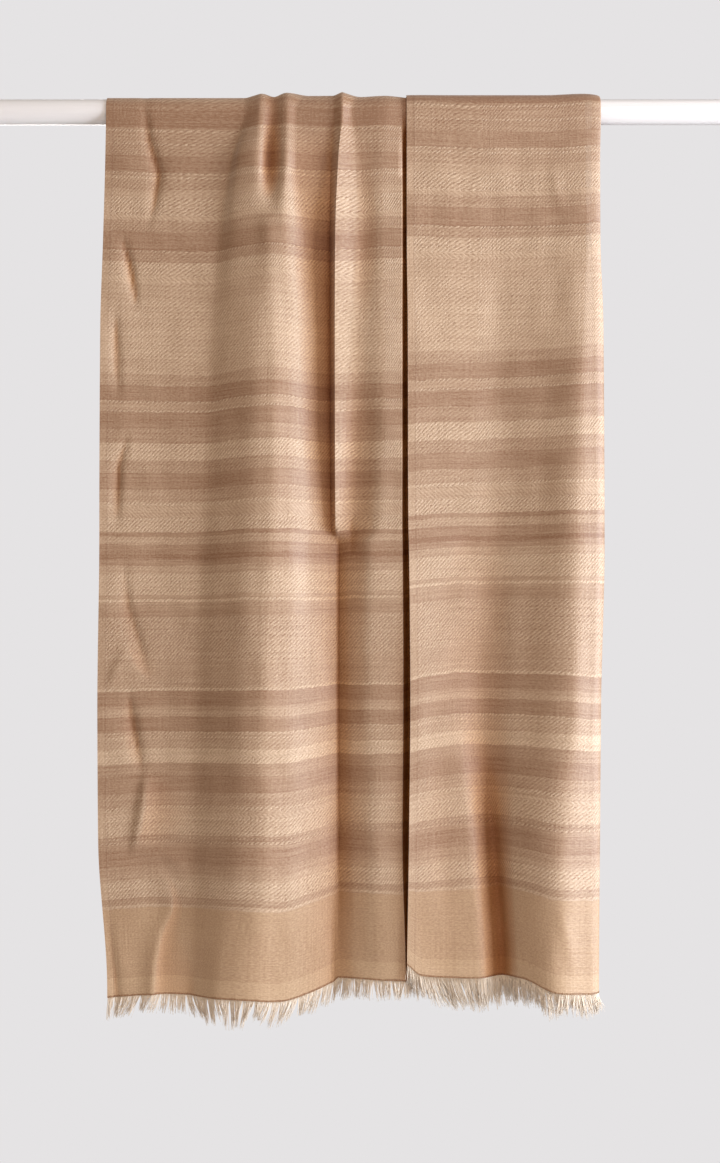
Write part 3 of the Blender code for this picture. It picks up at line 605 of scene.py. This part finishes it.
def fray(name, hem, table, seed):
    """The frayed end: yarns hanging from the hem, drawn together into uneven locks."""
    draw = random.Random(seed)
    places, roots, ahead, outward = hem_places(hem, YARN_SPACING, draw)
    locks = [0.0]
    while locks[-1] < places[-1]:
        locks.append(locks[-1] + draw.uniform(*LOCK_WIDTHS))
    middles = [(a + b) / 2 + draw.uniform(-LOCK_SHIFT, LOCK_SHIFT)
               for a, b in zip(locks[:-1], locks[1:])]
    lock_length = [draw.uniform(*LOCK_LENGTHS) for _ in middles]
    lock_lean = [draw.gauss(0, LOCK_SWAY) for _ in middles]
    lock_out = [draw.gauss(0, LOCK_STRAY) for _ in middles]
    owner = np.clip(np.searchsorted(locks, places, side="right") - 1, 0, len(middles) - 1)
    at, *values = np.array(table, float).T
    length, lean, pull = (np.interp(roots[:, 0], at, value) for value in values)
    kinds = np.array([draw.random() for _ in places])
    shortest, chance = YARN_LENGTHS
    spread = shortest + chance * np.array([draw.random() for _ in places])
    length *= np.array(lock_length)[owner] * spread
    sway = np.array([draw.gauss(0, YARN_SWAY) for _ in places])
    lean = lean + np.array(lock_lean)[owner] + sway
    gather = (np.array(middles)[owner] - places) * pull
    out = np.array(lock_out)[owner] + np.array([draw.gauss(0, YARN_STRAY) for _ in places])
    phase = np.array([draw.uniform(*ANY_PHASE) for _ in places])

    # a yarn closes up to its lock early, and swings further towards its tip
    steps = np.linspace(0, 1, YARN_STEPS)[None, :]
    curl = SIDE_CURL * np.sin(phase[:, None] + SIDE_WINDING * steps) * steps
    sideways = (gather[:, None] * steps**GATHER_EARLY + lean[:, None] * steps**SWING_LATE
                + curl) * np.sign(ahead[:, :1])
    outwards = (out[:, None] * steps
                + OUT_CURL * np.cos(phase[:, None] + OUT_WINDING * steps) * steps)
    paths = (roots[:, None, :] + ahead[:, None, :] * sideways[:, :, None]
             + outward[:, None, :] * outwards[:, :, None])
    paths[:, :, 2] = roots[:, 2:3] + HEM_TUCK - length[:, None] * steps
    thick = np.where(kinds < THICK_SHARE, THICK_RADIUS, THIN_RADIUS)
    radii = thick[:, None] * (1 - YARN_TAPER * steps**2)
    return tubes(name, paths, radii, YARN_SIDES, kinds)


def overcast(name, hem, seed):
    """The row of small slanting stitches that binds a hem above its fringe."""
    draw = random.Random(seed)
    places, roots, ahead, outward = hem_places(hem, STITCH_PITCH, draw)
    slant = np.linspace(*STITCH_SLANT, len(STITCH_BEND))
    paths = np.stack([roots + ahead * s + outward * out + np.array((0, 0, up))
                      for s, (out, up) in zip(slant, STITCH_BEND)], axis=1)
    radii = np.full(paths.shape[:2], STITCH_RADIUS)
    tones = np.array([draw.random() for _ in places])
    return tubes(name, paths, radii, STITCH_SIDES, tones)


# Finishes --------------------

def linear(colour):
    """An sRGB hex colour as linear values."""
    parts = [int(colour[i:i + 2], 16) / 255 for i in (1, 3, 5)]
    return (*(p / 12.92 if p <= 0.04045 else ((p + 0.055) / 1.055)**2.4 for p in parts), 1.0)


def feed(fed, inputs):
    """Link or set a node's inputs, which are listed in order, or by number or name.

    Mix has its colours at 6 and 7 and mixes them at output 2. The scale of VectorMath is 3.
    """
    for place, value in inputs.items() if isinstance(inputs, dict) else enumerate(inputs):
        if isinstance(value, bpy.types.Node):
            value = value.outputs[0]
        if isinstance(value, bpy.types.NodeSocket):
            fed.id_data.links.new(value, fed.inputs[place])
        else:
            fed.inputs[place].default_value = value


def node(tree, kind, inputs=(), **settings):
    """Add a node to a tree with its settings, values and links."""
    new = tree.nodes.new("ShaderNode" + kind)
    for name, value in settings.items():
        setattr(new, name, value)
    feed(new, inputs)
    return new


def new_finish(name):
    """A material, its node tree and its shader."""
    material = bpy.data.materials.new(name)
    material.use_nodes = True
    return material, material.node_tree, material.node_tree.nodes["Principled BSDF"]


# The stripes, from the hem up the cloth: where each begins in millimetres, its tone
# against the plain camel ground, and how strongly its twill shows
# The tones of the stripes from about 560 mm up are set a few per cent darker: painted shade
# that darkens the cloth towards the rod.
STRIPES = (
    (0, 0.98, 0), (1.6, 1.42, 0.1), (20, 1.28, 0.1), (96, 1.42, 0.6), (99, 1.17, 0.5),
    (106.5, 1.44, 1), (112, 1.4, 0.8), (116, 1.46, 1), (125.7, 1.3, 0.5), (132, 1.15, 0.3),
    (142, 1, 0), (162, 1.12, 0.2), (166.5, 1.22, 1), (169, 1.1, 0.1), (171, 1.22, 1),
    (173.5, 1.12, 0.1), (175.5, 1.44, 0.9), (186, 1.42, 0.8), (192, 1.46, 0.9),
    (195.5, 1.44, 0.5), (199.5, 1.34, 0.5), (204, 1.4, 1), (208, 1.2, 0.5), (222.5, 1, 0),
    (241, 1.12, 0.3), (254.5, 1.56, 0.8), (262, 1.54, 0.45), (266, 1.58, 0.8),
    (270.5, 1.29, 0.6), (282, 1.4, 1), (284, 1.27, 0.5), (286.5, 1.4, 1), (288.5, 1, 0),
    (305, 1.29, 0.4), (312.5, 1.18, 0.2), (317, 1, 0), (333.5, 1.52, 1), (336, 1.24, 0.6),
    (350, 1.22, 0.5), (356, 1.25, 0.6), (367, 1.29, 0.9), (415, 1.12, 0.3), (425, 1.2, 0.4),
    (431, 1.56, 1), (434, 1.24, 0.4), (438.5, 1.47, 1), (447, 1.44, 0.9), (452, 1.47, 1),
    (462.5, 1.27, 0.5), (471, 1.05, 0), (478.5, 0.83, 0), (483.5, 1, 0), (494.5, 1.25, 0.5),
    (503.5, 0.98, 0), (508, 1.42, 1), (523.5, 1.33, 0.5), (530, 1.36, 0.5), (538, 1.46, 1),
    (541, 1.21, 0.5), (555.5, 1, 0), (573, 1.17, 0.6), (586.5, 1.45, 1), (604.5, 1.1, 0.4),
    (621.5, 0.96, 0), (639, 1.29, 1), (641.5, 1.21, 0.4), (648.5, 1.27, 1), (651, 0.96, 0),
    (667.5, 1.19, 0.5), (680.5, 1.39, 0.7), (698, 1.46, 0.8), (712, 1.44, 0.7),
    (720, 1.48, 0.8), (730.5, 1.42, 0.8), (760.5, 1.35, 0.6), (780.5, 1.44, 0.6),
    (788, 1.41, 0.9), (792, 1.44, 1), (803.5, 1.11, 0.5), (813.5, 1.21, 1),
    (815.5, 0.88, 0), (817.5, 0.96, 0), (836.5, 1.13, 0.5), (849.5, 1.36, 0.5),
    (855, 1.38, 1), (874.5, 1.3, 0.5), (883, 1.16, 0.6), (895.5, 1.34, 1),
    (897.5, 1.15, 0.3), (899.5, 1.3, 1), (902, 0.96, 0), (920.5, 1.1, 0.5), (932, 1.25, 1),
    (934, 1.1, 0.5), (946.5, 1.25, 1), (948.5, 1.08, 0.3), (951, 0.83, 0), (970, 0.93, 0.3),
    (980, 1.13, 0.6),
)
# The stripes whose twill falls to the right, by where they begin. The others' rises.
FALLING = (195.5, 262, 523.5, 530, 780.5, 849.5)
DRAWN_IN = 0.995  # the finished cloth is a little shorter than it was woven
STRIPE_MIDDLE = 990.0  # the stripes run back to the other end from here
RAMP_SPAN = 250.0  # one colour ramp holds the stripes of this much cloth
DARKEST, LIGHTEST = 0.75, 2.0  # the tones of the two yarn colours that are mixed
TWILL_PITCH = 4.4  # two ribs of the real twill, which are 2.2 mm apart
YARN_PITCH = 2.4  # drawn four times coarser than the 0.6 mm yarn, to show
RIB_WAVER = 3.4  # how far uneven yarn pushes a rib out of line
THIN_PATCH = (-0.14, 0.12)  # from the thinnest yarn to full yarn, in the noise of a patch
RIB_STRENGTH = (0.25, 1.35)  # of the ribs there
BORDER_WIDTH = 96.0  # of the plain border above the fringe
BORDER_CALM = 0.7  # how much more evenly it is woven than the stripes
BORDER_TINTED = 0.6
SELVEDGE_WIDTH = 8.0
SELVEDGE_CALM = 0.6  # how much of the ribs it loses
DOUBLED_WARP = (8.6, 0.9)  # how far in it lies, and half its width
# Uneven yarn, each sort by how it is stretched across and along the cloth, how many of its
# marks there are in a millimetre, and how fine its detail is: single wefts, warps, slubs,
# patches of thinner ribs, stripes that wander and rag, and the wool's own slow change
UNEVEN = (
    ("weft", (0.03, 1.0, 1.0), 1 / YARN_PITCH, 1.5),
    ("warp", (1.0, 0.03, 1.0), 1 / YARN_PITCH, 1.5),
    ("slub", (0.6, 1.0, 1.0), 0.62, 3.0),
    ("patch", (1.0, 1.0, 1.0), 0.30, 2.0),
    ("rag", (0.6, 1.0, 1.0), 0.30, 2.0),
    ("wander", (1.0, 1.0, 1.0), 0.035, 2.0),
    ("cloud", (1.0, 1.0, 1.0), 0.012, 2.0),
)


def stripe_chart(tree, place):
    """Mixed share of ivory yarn, twill strength and twill lean at a place, as one colour."""
    chart = None
    for start in np.arange(0, STRIPE_MIDDLE, RAMP_SPAN):
        inside = [row for row in STRIPES if start < row[0] < start + RAMP_SPAN]
        before = [row for row in STRIPES if row[0] <= start][-1]
        within = node(tree, "Math", (place, start), operation="SUBTRACT")
        share = node(tree, "Math", (within, RAMP_SPAN), operation="DIVIDE")
        ramp = node(tree, "ValToRGB", (share,))
        stops = ramp.color_ramp.elements
        ramp.color_ramp.interpolation = "CONSTANT"
        stops.remove(stops[1])
        for number, (at, tone, twill) in enumerate([before] + inside):
            stop = stops[0] if number == 0 else stops.new((at - start) / RAMP_SPAN)
            ivory = (tone - DARKEST) / (LIGHTEST - DARKEST)
            stop.color = (ivory, twill, 0.0 if at in FALLING else 1.0, 1)
        stops[0].position = 0
        if chart is None:
            chart = ramp
            continue
        beyond = node(tree, "Math", (place, start), operation="GREATER_THAN")
        chart = node(tree, "Mix", {0: beyond, 6: chart, 7: ramp}, data_type="RGBA").outputs[2]
    return chart


def woven_wool(fold_place, cloth_width):
    """Worsted wool in camel and ivory, woven in bands of twill and plain weave.

    Fine wool is matt, with a broad soft gleam where its fibres turn to the light.
    The ivory weft shows as broken slanting ribs in the twill and as even bands elsewhere.
    """
    material, tree, shader = new_finish("striped_worsted_wool")
    threads = node(tree, "UVMap", uv_map="threads")
    in_mm = node(tree, "VectorMath", {0: threads, 3: 1000.0}, operation="SCALE")
    across, along, _ = node(tree, "SeparateXYZ", (in_mm,)).outputs

    uneven = {}
    for sort, stretch, count, detail in UNEVEN:
        placed = node(tree, "VectorMath", (in_mm, stretch), operation="MULTIPLY")
        noise = node(tree, "TexNoise",
                     {"Vector": placed, "Scale": count, "Detail": detail, "Roughness": 0.65},
                     noise_dimensions="2D").outputs["Fac"]
        uneven[sort] = node(tree, "Math", (noise, 0.5), operation="SUBTRACT")

    # where a point lies in the stripes, which run the other way up on the cloth's second half
    woven_length = CLOTH_LENGTH / DRAWN_IN
    bowed = node(tree, "Math", (along, DRAWN_IN), operation="DIVIDE")
    for sort, reach in (("wander", 2.4), ("rag", 2.2)):
        bowed = node(tree, "Math", (uneven[sort], reach, bowed), operation="MULTIPLY_ADD")
    share = STRIPE_MIDDLE / (woven_length - STRIPE_MIDDLE)
    other_end = node(tree, "Math", (bowed, -share, woven_length * share),
                     operation="MULTIPLY_ADD")
    place = node(tree, "Math", (bowed, other_end), operation="MINIMUM")
    chart = node(tree, "SeparateColor", (stripe_chart(tree, place),))
    ivory, twill, lean = chart.outputs

    # the selvedges are a plain, closer weave with a line of doubled warp along each
    other_edge = node(tree, "Math", (cloth_width, across), operation="SUBTRACT")
    to_edge = node(tree, "Math", (across, other_edge), operation="MINIMUM")
    selvedge = node(tree, "Math", (to_edge, SELVEDGE_WIDTH), operation="LESS_THAN")
    inset, half_width = DOUBLED_WARP
    doubled = node(tree, "Math", (to_edge, inset, half_width), operation="COMPARE")
    edge_calm = node(tree, "Math", (selvedge, -SELVEDGE_CALM, 1.0), operation="MULTIPLY_ADD")

    # slanting twill ribs, mirrored at the fold so that they rise to the right on the flap
    # too, and broken up where the yarn thins
    from_fold = node(tree, "Math", (across, fold_place), operation="SUBTRACT")
    from_fold = node(tree, "Math", (from_fold,), operation="ABSOLUTE")
    # way is 1 where the twill rises and -1 where it falls
    way = node(tree, "Math", (lean, 2.0, -1.0), operation="MULTIPLY_ADD")
    ribs = node(tree, "Math", (place, way, from_fold), operation="MULTIPLY_ADD")
    ribs = node(tree, "Math", (uneven["slub"], RIB_WAVER, ribs), operation="MULTIPLY_ADD")
    ribs = node(tree, "Math", (ribs, 2 * math.pi / TWILL_PITCH), operation="MULTIPLY")
    ribs = node(tree, "Math", (ribs,), operation="SINE")
    broken = node(tree, "MapRange", (uneven["patch"], *THIN_PATCH, *RIB_STRENGTH))
    for strength in (twill, broken, edge_calm):
        ribs = node(tree, "Math", (ribs, strength), operation="MULTIPLY")

    # the plain border is woven more evenly than the stripes
    border = node(tree, "Math", (place, BORDER_WIDTH), operation="LESS_THAN")
    even = node(tree, "Math", (border, -BORDER_CALM, 1.0), operation="MULTIPLY_ADD")
    streaks = node(tree, "Math", (uneven["weft"], even), operation="MULTIPLY")

    mix = ivory
    for pattern, strength in ((ribs, 0.25), (streaks, 0.36), (uneven["warp"], 0.11),
                              (uneven["slub"], 0.68), (uneven["cloud"], 0.14),
                              (doubled, -0.07), (selvedge, -0.02)):
        mix = node(tree, "Math", (pattern, strength, mix), operation="MULTIPLY_ADD")
    colour = node(tree, "Mix", {0: mix, 6: linear(CAMEL_YARN), 7: linear(IVORY_WEFT)},
                  data_type="RGBA", clamp_factor=True).outputs[2]

    # the border has no pink ply in it, so it looks yellower
    border = node(tree, "Math", (border, BORDER_TINTED), operation="MULTIPLY")
    # and wool deep in a fold is multiplied by painted shade, warmer and darker the more the
    # fold closes over it
    closed = node(tree, "UVMap", uv_map="shelter")
    closed = node(tree, "SeparateXYZ", (closed,))
    painted_fold_shade = node(tree, "ValToRGB", (closed,))
    stops = painted_fold_shade.color_ramp.elements
    stops[0].position, stops[1].position = PAINTED_FOLD_SHADE[0][0], PAINTED_FOLD_SHADE[-1][0]
    for at, _ in PAINTED_FOLD_SHADE[1:-1]:
        stops.new(at)
    for stop, (_, tint) in zip(stops, PAINTED_FOLD_SHADE):
        stop.color = linear(tint)
    for share, tint in ((border, linear(BORDER_TINT)), (1.0, painted_fold_shade)):
        colour = node(tree, "Mix", {0: share, 6: colour, 7: tint},
                      data_type="RGBA", blend_type="MULTIPLY").outputs[2]

    relief = 0.0
    for pattern, strength in ((uneven["weft"], 0.9), (uneven["warp"], 0.5), (ribs, 0.4),
                              (uneven["slub"], 0.6), (doubled, 0.4)):
        relief = node(tree, "Math", (pattern, strength, relief), operation="MULTIPLY_ADD")
    bump = node(tree, "Bump", {"Height": relief, "Distance": 0.4 * MM, "Strength": 0.9})
    feed(shader, {"Base Color": colour, "Normal": bump, "Roughness": 0.6, "IOR": 1.54,
                  "Sheen Roughness": 0.45, "Sheen Tint": linear("#fff6ee")})
    # wool that a fold closes over has nothing bright to reflect, so its gleam is painted down
    # as shade by how far the fold closes
    for name, open_value, closed_value in (("Specular IOR Level", 0.9, 0.1),
                                           ("Sheen Weight", 0.3, 0.0)):
        gleam = node(tree, "MapRange", (closed, *DULLED, open_value, closed_value))
        feed(shader, {name: gleam})
    return material


def yarn_finish(name, root_colour, tip_colour, sheen):
    """Wool yarn: matt and fibrous, with each strand a little different from the next."""
    material, tree, shader = new_finish(name)
    strand = node(tree, "UVMap", uv_map="yarn")
    tone, along, _ = node(tree, "SeparateXYZ", (strand,)).outputs
    colour = node(tree, "Mix", {0: along, 6: linear(root_colour), 7: linear(tip_colour)},
                  data_type="RGBA").outputs[2]
    # the marks of its fibres are about a millimetre long
    place = node(tree, "TexCoord").outputs["Object"]
    fibre = node(tree, "TexNoise",
                 {"Vector": place, "Scale": 900.0, "Detail": 2.0}).outputs["Fac"]
    varied = 0.78
    for pattern, strength in ((tone, 0.22), (fibre, 0.2)):
        varied = node(tree, "Math", (pattern, strength, varied), operation="MULTIPLY_ADD")
    shade = node(tree, "VectorMath", {0: colour, 3: varied}, operation="SCALE")
    bump = node(tree, "Bump", {"Height": fibre, "Distance": 0.15 * MM, "Strength": 0.6})
    feed(shader, {"Base Color": shade, "Normal": bump, "Roughness": 0.9, "IOR": 1.54,
                  "Specular IOR Level": 0.2, "Sheen Weight": sheen})
    return material


def white_enamel():
    """Gloss white enamel on turned wood: smooth, with a faint brushed unevenness."""
    material, tree, shader = new_finish("gloss_white_enamel")
    place = node(tree, "TexCoord").outputs["Object"]
    # brush marks run along the rod, about 1.5 mm apart
    stretch = node(tree, "Mapping", {"Vector": place, "Scale": (12.0, 650.0, 650.0)})
    marks = node(tree, "TexNoise",
                 {"Vector": stretch, "Scale": 1.0, "Detail": 2.0}).outputs["Fac"]
    colour = node(tree, "Mix", {0: marks, 6: linear("#eeeeee"), 7: linear("#f6f6f5")},
                  data_type="RGBA").outputs[2]
    bump = node(tree, "Bump", {"Height": marks, "Distance": 0.03 * MM, "Strength": 0.4})
    feed(shader, {"Base Color": colour, "Normal": bump, "Roughness": 0.32, "IOR": 1.5,
                  "Coat Weight": 0.3, "Coat Roughness": 0.12})
    return material


def pale_paper():
    """The studio's matt pale paper, with a very faint tooth."""
    material, tree, shader = new_finish("matt_pale_paper")
    place = node(tree, "TexCoord").outputs["Object"]
    tooth = node(tree, "TexNoise",
                 {"Vector": place, "Scale": 160.0, "Detail": 2.0}).outputs["Fac"]
    colour = node(tree, "Mix", {0: tooth, 6: linear("#e2e0e1"), 7: linear("#e8e6e7")},
                  data_type="RGBA").outputs[2]
    feed(shader, {"Base Color": colour, "Roughness": 0.95})
    return material


# The studio --------------------

def area_light(name, place, aim, size, power, colour):
    """A soft rectangular light that faces a point."""
    lamp = bpy.data.lights.new(name, "AREA")
    lamp.shape = "RECTANGLE"
    lamp.size, lamp.size_y = size
    lamp.energy = power
    lamp.color = linear(colour)[:3]
    light = put_in_scene(name, lamp)
    light.location = place
    light.rotation_euler = (Vector(aim) - Vector(place)).to_track_quat("-Z", "Y").to_euler()


def set_up_studio():
    """Camera at the photograph's angle, soft light from the right, pale floor and air."""
    scene = bpy.context.scene
    scene.view_settings.view_transform = "Standard"

    camera = put_in_scene("camera", bpy.data.cameras.new("camera"))
    camera.location = (0, -CAMERA_DISTANCE - CLOTH_FRONT, CAMERA_HEIGHT)
    camera.rotation_euler = (math.pi / 2, 0, 0)
    camera.data.sensor_width = SENSOR_WIDTH
    camera.data.lens = SENSOR_WIDTH * CAMERA_DISTANCE / VIEW_HEIGHT
    scene.camera = camera

    for name, facts in LIGHTS.items():
        area_light(name, *facts)

    bpy.ops.mesh.primitive_plane_add(size=FLOOR_SIZE, location=(0, 0, FLOOR_HEIGHT))
    floor = bpy.context.object
    floor.name = "floor"
    floor.data.materials.append(pale_paper())

    # the air is seen as plain pale grey, and lights the cloth more dimly
    world = bpy.data.worlds.new("studio_air")
    scene.world = world
    world.use_nodes = True
    tree = world.node_tree
    seen = tree.nodes["Background"]
    feed(seen, {"Color": linear("#e5e3e4")})
    cast = node(tree, "Background", {"Color": linear("#ffecde"), "Strength": AIR_LIGHT})
    path = node(tree, "LightPath")
    both = node(tree, "MixShader", (path.outputs["Is Camera Ray"], cast, seen))
    feed(tree.nodes["World Output"], {"Surface": both})


def dress_rod():
    """Give the rod, which keeps its own solid, its enamel."""
    enamel = white_enamel()
    for material_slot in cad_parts["rod"].material_slots:
        material_slot.material = enamel


def hang_shawl():
    """The cloth, its frayed ends and the stitching along its hems."""
    cloth, points, threads = lay_cloth("striped_cloth")
    cloth_width = threads[0, -1, 0]
    flap_start = sum(MAIN_STRIPS)
    fold_place = threads[0, flap_start + LOOP_STRIPS // 2, 0]
    wall = cloth.modifiers.new("wall", "SOLIDIFY")
    wall.thickness = CLOTH_WALL * MM
    wall.offset = 0
    wall.use_even_offset = True
    bpy.ops.object.modifier_apply(modifier="wall")
    bpy.ops.object.shade_smooth_by_angle(angle=math.radians(SMOOTH_ANGLE))
    cloth.data.materials.clear()
    cloth.data.materials.append(woven_wool(fold_place, cloth_width))
    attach(cloth, "root")
    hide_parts("front_main", "front_flap", "main_turn", "flap_turn",
                "back_main", "back_flap")

    frayed = yarn_finish("frayed_ivory_wool", "#eedec8", "#e2d3be", 0.2)
    thread = yarn_finish("brown_sewing_cotton", "#94704c", "#94704c", 0.1)
    trims = []
    for side, hem, table in (("front", points[0], FRONT_FRINGE),
                             ("back", points[-1], BACK_FRINGE)):
        for layer, columns in (("main", slice(0, flap_start + 1)),
                               ("flap", slice(flap_start, None))):
            fringe = fray(f"{side}_{layer}_yarns", hem[columns], table,
                          seed=len(trims) + FRINGE_SEED)
            fringe.data.materials.append(frayed)
            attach(fringe, "root")
            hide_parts(f"{side}_{layer}_fringe")
            trims.append(fringe)
        stitches = overcast(f"{side}_hem_stitching", hem, seed=len(trims) + STITCH_SEED)
        stitches.data.materials.append(thread)
        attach(stitches, "root")
        trims.append(stitches)


bpy.ops.object.select_all(action="DESELECT")
set_up_studio()
dress_rod()
bpy.ops.object.select_all(action="DESELECT")
hang_shawl()
